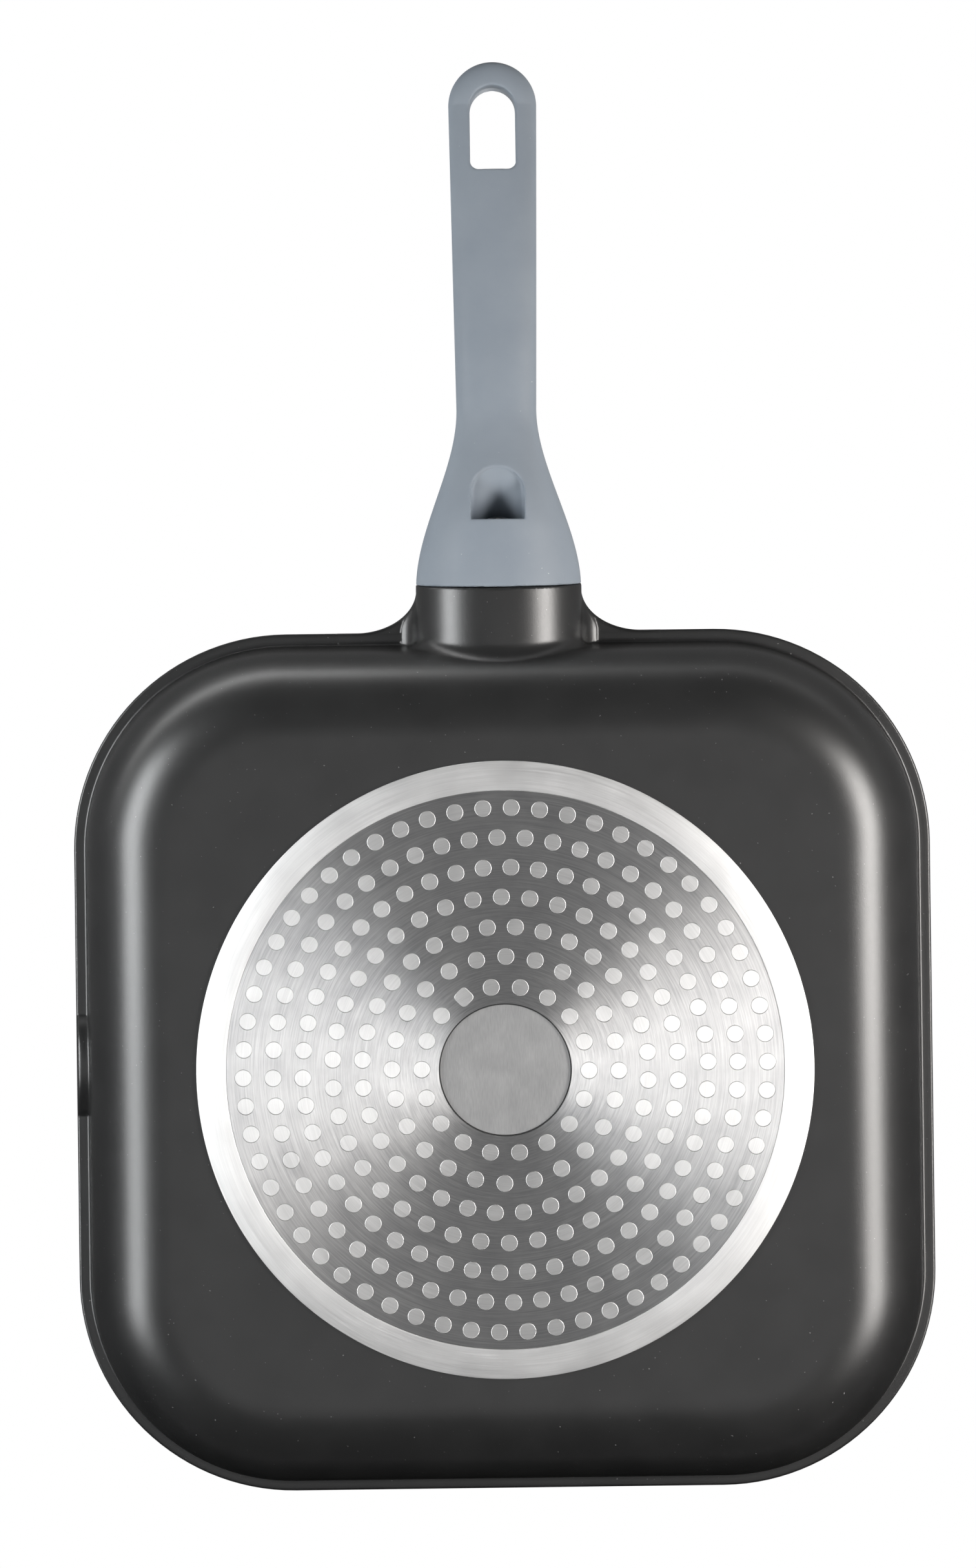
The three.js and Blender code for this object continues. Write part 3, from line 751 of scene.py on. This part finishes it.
def ringPoints(tree, given):    # places of the round holes, and the place of the square one
    rings = []
    for k, holes in enumerate(ringInputs):
        out = math2(tree, "MULTIPLY", given["Ring pitch"], float(k))
        radius = math2(tree, "ADD", given["First ring"], out)
        ring = nodeOut(tree, "GeometryNodeMeshCircle", {"Vertices": given[holes], "Radius": radius})
        if k == 0:
            index = nodeOut(tree, "GeometryNodeInputIndex")
            first = math2(tree, "LESS_THAN", index, 0.5)
            ring = nodeOut(tree, "GeometryNodeDeleteGeometry", {0: ring, "Selection": first})
        rings.append(ring)
    start = vector(tree, {0: given["First ring"]})
    single = nodeOut(tree, "GeometryNodePoints", {"Count": 1, "Position": start})
    turn = vector(tree, {2: given["Index"]})
    return joinAll(tree, rings), single, turn


def circleCurve(tree, sides, radius):
    return nodeOut(tree, "GeometryNodeCurvePrimitiveCircle", {"Resolution": sides, "Radius": radius})


def squareCurve(tree, given):
    square = nodeOut(tree, "GeometryNodeCurvePrimitiveQuadrilateral",
                     {"Width": given["Square"], "Height": given["Square"]})
    corner = math2(tree, "MULTIPLY", given["Square"], given["Square corner"])
    square = nodeOut(tree, "GeometryNodeFilletCurve", {"Curve": square, "Radius": corner, "Count": 4},
                     mode="POLY")
    turn = vector(tree, {2: given["Square turn"]})
    return nodeOut(tree, "GeometryNodeTransform", {0: square, "Rotation": turn})


def raiseOutline(tree, given, outline, bevelled):    # closed flat solid from a filled outline
    sink = given["Sink"]
    mode = "NGONS" if bevelled else "TRIANGLES"
    flat = nodeOut(tree, "GeometryNodeFillCurve", {0: outline}, mode=mode)
    low = vector(tree, {2: sink})
    flat = nodeOut(tree, "GeometryNodeTransform", {0: flat, "Translation": low})
    tall = math2(tree, "SUBTRACT", given["Thickness"], sink)
    up = vector(tree, {2: tall})
    raised = nodeOut(tree, "GeometryNodeExtrudeMesh", {0: flat, "Offset": up, "Individual": False})
    bottom = nodeOut(tree, "GeometryNodeFlipFaces", {0: flat})
    if bevelled:    # lower edge eased, so it catches the light
        deep = math2(tree, "MULTIPLY", given["Bevel"], -1.0)
        down = vector(tree, {2: deep})
        lower = addNode(tree, "GeometryNodeExtrudeMesh",
                        {0: bottom, "Offset": down, "Individual": False}).outputs
        bottom = nodeOut(tree, "GeometryNodeScaleElements",
                         {0: lower[0], "Selection": lower[1], "Scale": given["Bevel scale"]})
    both = joinAll(tree, [raised, bottom])
    return nodeOut(tree, "GeometryNodeMergeByDistance", {0: both, "Distance": 1e-6})


def outlinesOnPoints(tree, given):
    points, single, turn = ringPoints(tree, given)
    hole = circleCurve(tree, plateSpec["holeSides"], given["Hole radius"])
    placed = [nodeOut(tree, "GeometryNodeInstanceOnPoints", {"Points": where, "Instance": what})
              for where, what in ((points, hole), (single, squareCurve(tree, given)))]
    turned = nodeOut(tree, "GeometryNodeTransform", {0: joinAll(tree, placed), "Rotation": turn})
    return nodeOut(tree, "GeometryNodeRealizeInstances", {0: turned})


def plateTree(filled):
    name = "plateFillTree" if filled else "perforatedPlateTree"
    inputs = [(label, "Float") for label in plateInputs] + [(label, "Int") for label in ringInputs]
    tree, given = newTree(name, inputs + [("Material", "Material")])
    outlines = outlinesOnPoints(tree, given)
    if not filled:
        outlines = joinAll(tree, [
            outlines,
            circleCurve(tree, plateSpec["padSteps"], given["Plate radius"]),
            circleCurve(tree, plateSpec["boreSteps"], given["Bore radius"])])
    endTree(tree, raiseOutline(tree, given, outlines, filled), given["Material"])
    return tree


def buildPlate():
    values = plateValues()
    values.update({"Material": plateSteel, "Sink": 0.0})
    mesh = growMesh("inductionPlate", plateTree(False), values)
    return dressPiece("inductionPlate", mesh, [plateSteel], "plate_steel", "induction_plate", sharp=30)


def buildFills():
    spec = plateSpec
    values = plateValues()
    values.update({"Material": fillMetal, "Hole radius": (spec["hole"] - spec["fillGap"]) * mm,
                   "Square": (spec["square"] - 2 * spec["fillGap"]) * mm,
                   "Sink": (spec["sink"] + spec["bevel"]) * mm})
    mesh = growMesh("plateFills", plateTree(True), values)
    return dressPiece("plateFills", mesh, [fillMetal], "coated_aluminium", "pan_body", sharp=15)


buildPad()
buildPlate()
buildFills()


# Handle: sections that run from the boss's shape to the neck and on to the tail

gripLow, gripHigh = corners("handle")
gripSpec = {
    "length": 173.95, "start": 0.3, "mouthEdge": 0.3, "inset": 0.1, "slopeAt": 16, "slopeEnd": 60,
    "neckAt": 58, "neckWidth": 26, "neckThick": 16, "neckMiddle": 36.5,
    "tailWidth": 29, "tailThick": 12, "tailRise": 14, "power": 2.6, "skin": 0.55, "skinOver": 2,
    "eyeWidth": 15, "eyeLength": 28.4, "eyeCorner": 2.8, "eyeMargin": 8.4, "eyeEdge": 0.6,
    "pocketFrom": 21.1, "pocketWidth": 17.3, "pocketLength": 17.6, "pocketDeep": 19, "pocketSide": 12,
    "pocketLip": 0.5, "pocketCurve": 1.45, "pocketTrough": 5.2, "pocketEdge": 0.4, "pocketFillet": 1,
    "floorSlope": 0.5, "channel": 4.8, "channelEnd": 8, "bore": 2.8, "boreEnd": 1, "tenonGap": 0.3,
}
screwSpec = {
    "tilt": 25, "seatFrom": 15, "shank": 2.5, "length": 18, "head": 4.25, "headTall": 3.3, "headEdge": 0.7,
    "pitch": 0.8, "thread": 0.5, "tipEdge": 0.4, "skin": 0.2,
    "armWide": 0.65, "armLong": 2.3, "armDeep": 1.9, "armEdge": 0.15,    # cross recess
    "washer": 4.5, "washerEdge": 0.15, "washerSteps": 64, "gap": 0.3, "plain": 1,
    "spring": 1.2, "springRise": 0.5, "springSteps": 72, "split": 12,
}
tailMiddle = gripSpec["length"] - gripSpec["tailWidth"] / 2
screwTilt = math.radians(screwSpec["tilt"])
seatDrop = (screwSpec["seatFrom"] - bossSpec["tenonLength"]) * math.tan(screwTilt)
seat = Vector((0, jointY + screwSpec["seatFrom"], bossSpec["tenonMiddle"] - seatDrop))


def gripSection(along):
    spec = gripSpec
    joint = 1 - ease(along, 0, spec["neckAt"])
    grip = np.clip((along - spec["neckAt"]) / (tailMiddle - spec["neckAt"]), 0, 1)
    middle = spec["neckMiddle"] + spec["tailRise"] * grip ** 2 * (3 - grip) / 2
    half = mix(spec["neckThick"], spec["tailThick"], grip) / 2
    inset = spec["inset"]
    slope = 1 - ease(along, spec["slopeAt"], spec["slopeEnd"])
    width = mix(spec["neckWidth"], spec["tailWidth"], grip)
    return {
        "halfWidth": mix(width / 2, bossSpec["width"] / 2 - inset, joint),
        "belly": mix(middle - half, bossSpec["belly"] + inset, slope),
        "shoulder": mix(middle, bossSpec["shoulder"], joint),
        "crown": mix(middle + half, bossSpec["crown"] - inset, joint),
        "bellyPower": mix(spec["power"], bossSpec["bellyPower"], joint),
        "crownPower": mix(spec["power"], bossSpec["crownPower"], joint),
    }


def eyeField(x, y):    # outline of the hanging hole: round at the tail, square with round corners below
    spec = gripSpec
    half = spec["eyeWidth"] / 2
    far = jointY + spec["length"] - spec["eyeMargin"]
    near = far - spec["eyeLength"]
    x = np.abs(x)
    outX = x - half + spec["eyeCorner"]
    outY = near + spec["eyeCorner"] - y
    edge = np.hypot(np.maximum(outX, 0), np.maximum(outY, 0)) - spec["eyeCorner"]
    lower = edge + np.minimum(np.maximum(outX, outY), 0)
    return np.where(y > far - half, np.hypot(x, y - far + half) - half, lower)


def pocketField(x, y, z):    # a trough that drops from its arched end and runs under the flat lip
    spec = gripSpec
    half = spec["pocketWidth"] / 2
    near = jointY + spec["pocketFrom"]
    end = spec["pocketFrom"] + spec["pocketLength"]
    x = np.abs(x)
    middle = near + spec["pocketLength"] - half
    outline = np.where(y > middle, np.hypot(x, y - middle) - half, np.maximum(x - half, near - y))
    belly = gripSection(np.clip(y - jointY, spec["pocketFrom"], end))["belly"]
    left = np.clip((end + jointY - y) / spec["pocketLength"], 0, 1) ** spec["pocketCurve"]
    trough = mix(spec["pocketSide"], spec["pocketDeep"], np.exp(-(x / spec["pocketTrough"]) ** 2))
    floor = belly + spec["pocketLip"] + left * trough
    return roundKeep(outline, (z - floor) * spec["floorSlope"], spec["pocketFillet"])


def screwRadii(x, y, z):    # distance along the screw, out of the pocket, and from its axis
    along = (y - seat.y) * math.cos(screwTilt) - (z - seat.z) * math.sin(screwTilt)
    across = (y - seat.y) * math.sin(screwTilt) + (z - seat.z) * math.cos(screwTilt)
    return along, np.hypot(x, across)


def gripField(x, y, z):
    spec = gripSpec
    along = y - jointY
    past = np.maximum(along - tailMiddle, 0)
    solid = ovalField(np.hypot(x, past), z=z, **gripSection(along))
    solid = roundKeep(solid, jointFace(z) + spec["start"] - y, spec["mouthEdge"])
    solid = roundCut(solid, eyeField(x, y), spec["eyeEdge"])
    solid = roundCut(solid, pocketField(x, y, z), spec["pocketEdge"])
    out, radius = screwRadii(x, y, z)
    channel = np.maximum(radius - spec["channel"], np.maximum(-out, out - spec["channelEnd"]))
    solid = np.maximum(solid, -channel)    # under the pocket's flat wall
    solid = np.maximum(solid, -np.maximum(radius - spec["bore"], out - spec["boreEnd"]))
    return np.maximum(solid, -tenonField(x, y, z, spec["tenonGap"]))


def buildGrip():
    low = [place - gripSpec["skinOver"] for place in gripLow]
    high = [place + gripSpec["skinOver"] for place in gripHigh]
    points, faces = skinField(gripField, low, high, gripSpec["skin"])
    return addPiece("handleGrip", points, faces, [moulding], "handle_moulding", "handle", sharp=65)


buildGrip()


# Screw and washers, deep in the pocket's channel

springFrom = 2 * screwSpec["gap"] + screwSpec["plain"]
headFrom = springFrom + screwSpec["spring"] + screwSpec["springRise"] + screwSpec["gap"]


def onScrew(points):    # from the screw's own frame to the pan's
    turned = Matrix.Rotation(-math.pi / 2 - screwTilt, 3, "X")
    return [tuple(turned @ Vector(point) + seat) for point in points]


def screwField(x, y, z):
    spec = screwSpec
    radius = np.hypot(x, y)
    tip = headFrom - spec["length"]
    wave = np.abs((z / spec["pitch"] - np.arctan2(y, x) / (2 * math.pi)) % 1 - 0.5)
    shank = roundKeep(radius - spec["shank"] + spec["thread"] * (0.5 - wave), tip - z, spec["tipEdge"])
    shank = np.maximum(shank, z - headFrom - 1)
    top = headFrom + spec["headTall"]
    head = roundKeep(np.maximum(radius - spec["head"], headFrom - z), z - top, spec["headEdge"])
    arms = [np.maximum(np.abs(a) - spec["armWide"], np.abs(b) - spec["armLong"]) for a, b in ((x, y), (y, x))]
    cross = np.maximum(np.minimum(*arms), top - spec["armDeep"] - z)
    return roundCut(np.minimum(shank, head), cross, spec["armEdge"])


def buildScrew():
    wide = screwSpec["head"] + 1
    low = (-wide, -wide, headFrom - screwSpec["length"] - 1)
    high = (wide, wide, headFrom + screwSpec["headTall"] + 1)
    points, faces = skinField(screwField, low, high, screwSpec["skin"])
    addPiece("handleScrew", onScrew(points), faces, [steel], "screw_steel", "handle_screw", sharp=60)


def washerSection(low, high):    # (radius, height) round the ring's cut face
    inner, outer, soft = gripSpec["bore"], screwSpec["washer"], screwSpec["washerEdge"]
    return [(inner, low), (outer - soft, low), (outer, low + soft), (outer, high - soft),
            (outer - soft, high), (inner, high)]


def buildWashers():
    spec = screwSpec
    points, faces = lathe(washerSection(spec["gap"], spec["gap"] + spec["plain"]), spec["washerSteps"])
    addPiece("plainWasher", onScrew(points), faces, [steel], "screw_steel", "plain_washer", sharp=30)
    turns = np.radians(np.linspace(spec["split"], 360 - spec["split"], spec["springSteps"] + 1))
    points = []
    for turn in turns:
        start = springFrom + spec["springRise"] * turn / (2 * math.pi)
        section = washerSection(start, start + spec["spring"])
        points += [(r * math.cos(turn), r * math.sin(turn), z) for r, z in section]
    faces = ringFaces(len(turns), len(section)) + endCaps(len(section), len(points))
    faces = [face[::-1] for face in faces]
    addPiece("springWasher", onScrew(points), faces, [steel], "screw_steel", "spring_washer", sharp=30)


buildScrew()
buildWashers()


# Studio: pale floor, dark room below, softboxes on both sides of the base

studioSpec = {
    "ambient": 0.55, "floor": (0.82, 0.82, 0.82), "floorSize": 6, "floorDrop": 0.0002,
    "hazeFrom": 0.4, "hazeTo": 2.6, "floorNear": 0.08, "floorFar": 0.55,
    "roomGlow": 0.05, "roomSize": 3, "roomDrop": 0.001,
    "skirtHeight": 0.05, "skirtGlow": 0.2, "skirtFrom": -0.15, "skirtTo": 0.2, "skirtReach": 20,
    "horizonFrom": 0.34, "horizonTo": 0.54, "horizonGlow": (1.2, 9), "horizonSide": (0.025, 0.055),
}
coolWhite = (0.97, 0.99, 1)
warmWhite = (1, 0.97, 0.94)
plainWhite = (1, 1, 1)
lampSpec = {
    "left": {"place": (0.624, 0.205, -0.36), "size": (0.51, 0.25), "watts": 4.3, "colour": coolWhite},
    "leftLow": {"place": (0.624, -0.18, -0.36), "size": (0.21, 0.25), "watts": 1.45, "colour": coolWhite},
    "right": {"place": (-0.587, 0.14, -0.4), "size": (0.4, 0.25), "watts": 4.9, "colour": warmWhite},
    "rightLow": {"place": (-0.587, -0.195, -0.4), "size": (0.22, 0.25), "watts": 2.2, "colour": warmWhite},
    "front": {"place": (0, -0.22, -1.5), "size": (0.95, 0.95), "watts": 1.68, "colour": plainWhite},
    "key": {"place": (-0.7, -0.9, 1.5), "size": (1.2, 1.2), "watts": 22, "colour": plainWhite},
}
scene = bpy.context.scene


def addSoftbox(name, place, size, watts, colour):
    lamp = bpy.data.lights.new(name, "AREA")
    lamp.shape = "RECTANGLE"
    lamp.size, lamp.size_y = size
    lamp.energy = watts
    lamp.color = colour
    box = bpy.data.objects.new(name, lamp)
    box.location = place
    aim = (0, place[1], 0)    # square to the pan
    box.rotation_euler = (Vector(aim) - Vector(place)).to_track_quat("-Z", "Y").to_euler()
    box.visible_camera = False
    scene.collection.objects.link(box)
    return box


def whiteWorld():
    world = bpy.data.worlds.new("studioWorld")
    scene.world = world
    tree = emptyTree(world)
    rays = addNode(tree, "ShaderNodeLightPath").outputs
    seen = math2(tree, "MAXIMUM", rays["Is Camera Ray"], rays["Is Glossy Ray"])
    seen = math2(tree, "MAXIMUM", seen, rays["Is Transmission Ray"])
    paint = {"Color": (*plainWhite, 1)}
    fill = nodeOut(tree, "ShaderNodeBackground", {**paint, "Strength": studioSpec["ambient"]})
    white = nodeOut(tree, "ShaderNodeBackground", {**paint, "Strength": 1.0})
    both = nodeOut(tree, "ShaderNodeMixShader", {0: seen, 1: fill, 2: white})
    addNode(tree, "ShaderNodeOutputWorld", {0: both})
    world.cycles.sampling_method = "NONE"


def stageMesh(name, points, faces, material):
    mesh = bpy.data.meshes.new(name)
    mesh.from_pydata(points, [], faces)
    mesh.materials.append(material)
    item = bpy.data.objects.new(name, mesh)
    scene.collection.objects.link(item)
    return item


def fromBelow(tree):    # 1 on a path that came up through the floor
    rays = addNode(tree, "ShaderNodeLightPath").outputs
    return math2(tree, "GREATER_THAN", rays["Transparent Depth"], 0.5)


def paleFloor():    # solid from above and clear from below, so the base can be looked at through it
    spec = studioSpec
    material = bpy.data.materials.new("paleFloor")
    tree = emptyTree(material)
    back = addNode(tree, "ShaderNodeNewGeometry").outputs["Backfacing"]
    paint = nodeOut(tree, "ShaderNodeBsdfDiffuse", {"Color": (*spec["floor"], 1)})
    coords = addNode(tree, "ShaderNodeTexCoord").outputs["Object"]
    away = addNode(tree, "ShaderNodeVectorMath", {0: coords}, operation="LENGTH").outputs["Value"]
    haze = ramp(tree, away, spec["hazeFrom"], spec["hazeTo"], spec["floorNear"], spec["floorFar"])
    seen = addNode(tree, "ShaderNodeLightPath").outputs["Is Camera Ray"]
    glow = nodeOut(tree, "ShaderNodeEmission", {"Strength": math2(tree, "MULTIPLY", haze, seen)})
    pale = nodeOut(tree, "ShaderNodeAddShader", {0: paint, 1: glow})
    clear = nodeOut(tree, "ShaderNodeBsdfTransparent")
    through = math2(tree, "MAXIMUM", back, fromBelow(tree))
    both = nodeOut(tree, "ShaderNodeMixShader", {0: through, 1: pale, 2: clear})
    addNode(tree, "ShaderNodeOutputMaterial", {0: both})
    size = spec["floorSize"]
    low = -spec["floorDrop"]
    points = [(-size, -size, low), (size, -size, low), (size, size, low), (-size, size, low)]
    stageMesh("floor", points, [(0, 1, 2, 3)], material)


def dimCloth(name, glow):
    material = bpy.data.materials.new(name)
    tree = emptyTree(material)
    shine = nodeOut(tree, "ShaderNodeEmission", {"Color": (*plainWhite, 1), "Strength": glow})
    addNode(tree, "ShaderNodeOutputMaterial", {0: shine})
    return material


def darkRoom():    # unlit room under the floor, so the base has something dark to mirror
    size = studioSpec["roomSize"]
    low = -studioSpec["roomDrop"]
    points = [(x * size, y * size, z) for z in (low, -size) for x, y in ((-1, -1), (1, -1), (1, 1), (-1, 1))]
    faces = [(4, 5, 6, 7)] + [(k, (k + 1) % 4, (k + 1) % 4 + 4, k + 4) for k in range(4)]
    room = stageMesh("darkRoom", points, faces, dimCloth("darkRoom", studioSpec["roomGlow"]))
    room.visible_camera = False
    room.visible_shadow = False


def darkSkirt():    # just over the rim and shaped to it, keeps the white room out of the outer walls
    spec = studioSpec
    high = spec["skirtHeight"]
    size = vesselSpec["corner"] + 1
    inner = [((x + size * math.cos(turn)) * mm, (y + size * math.sin(turn)) * mm, high)
             for x, y, turn, _ in rimPlaces()]
    outer = [(x * spec["skirtReach"], y * spec["skirtReach"], high) for x, y, _ in inner]
    cloth = dimCloth("darkSkirt", 0.0)
    tree = cloth.node_tree
    coords = addNode(tree, "ShaderNodeTexCoord").outputs["Object"]
    across, along, _ = addNode(tree, "ShaderNodeSeparateXYZ", {0: coords}).outputs
    near = ramp(tree, along, spec["skirtFrom"], spec["skirtTo"], 0, spec["skirtGlow"])
    far = ramp(tree, along, spec["horizonFrom"], spec["horizonTo"], 0, 1)
    side = ramp(tree, across, *spec["horizonSide"], *spec["horizonGlow"])
    far = math2(tree, "MULTIPLY", far, side)
    shine = tree.nodes["Emission"]
    tree.links.new(math2(tree, "ADD", near, far), shine.inputs["Strength"])
    clear = nodeOut(tree, "ShaderNodeBsdfTransparent")
    both = addNode(tree, "ShaderNodeMixShader", {0: fromBelow(tree), 1: clear, 2: shine.outputs[0]})
    tree.links.new(both.outputs[0], tree.nodes["Material Output"].inputs[0])
    skirt = stageMesh("darkSkirt", inner + outer, ringFaces(2, len(inner)), cloth)
    skirt.visible_camera = False
    skirt.visible_diffuse = False


whiteWorld()
paleFloor()
darkRoom()
darkSkirt()
for name, lamp in lampSpec.items():
    addSoftbox(name + "Softbox", **lamp)
print("studio lit")


# Camera under the base, looking straight up, with the handle to the top of the picture

cameraSpec = {"place": (4.3, 90.2, -1101), "lens": 80.2, "sensor": 36, "near": 0.01, "roll": -0.75}


def addCamera():
    data = bpy.data.cameras.new("photoCamera")
    data.lens = cameraSpec["lens"]
    data.sensor_width = cameraSpec["sensor"]
    data.clip_start = cameraSpec["near"]
    camera = bpy.data.objects.new("photoCamera", data)
    upward = Matrix.Rotation(math.pi, 4, "Y")
    roll = Matrix.Rotation(math.radians(cameraSpec["roll"]), 4, "Z")
    camera.matrix_world = Matrix.Translation(Vector(cameraSpec["place"]) * mm) @ upward @ roll
    scene.collection.objects.link(camera)
    scene.camera = camera


addCamera()
scene.view_settings.view_transform = "Standard"
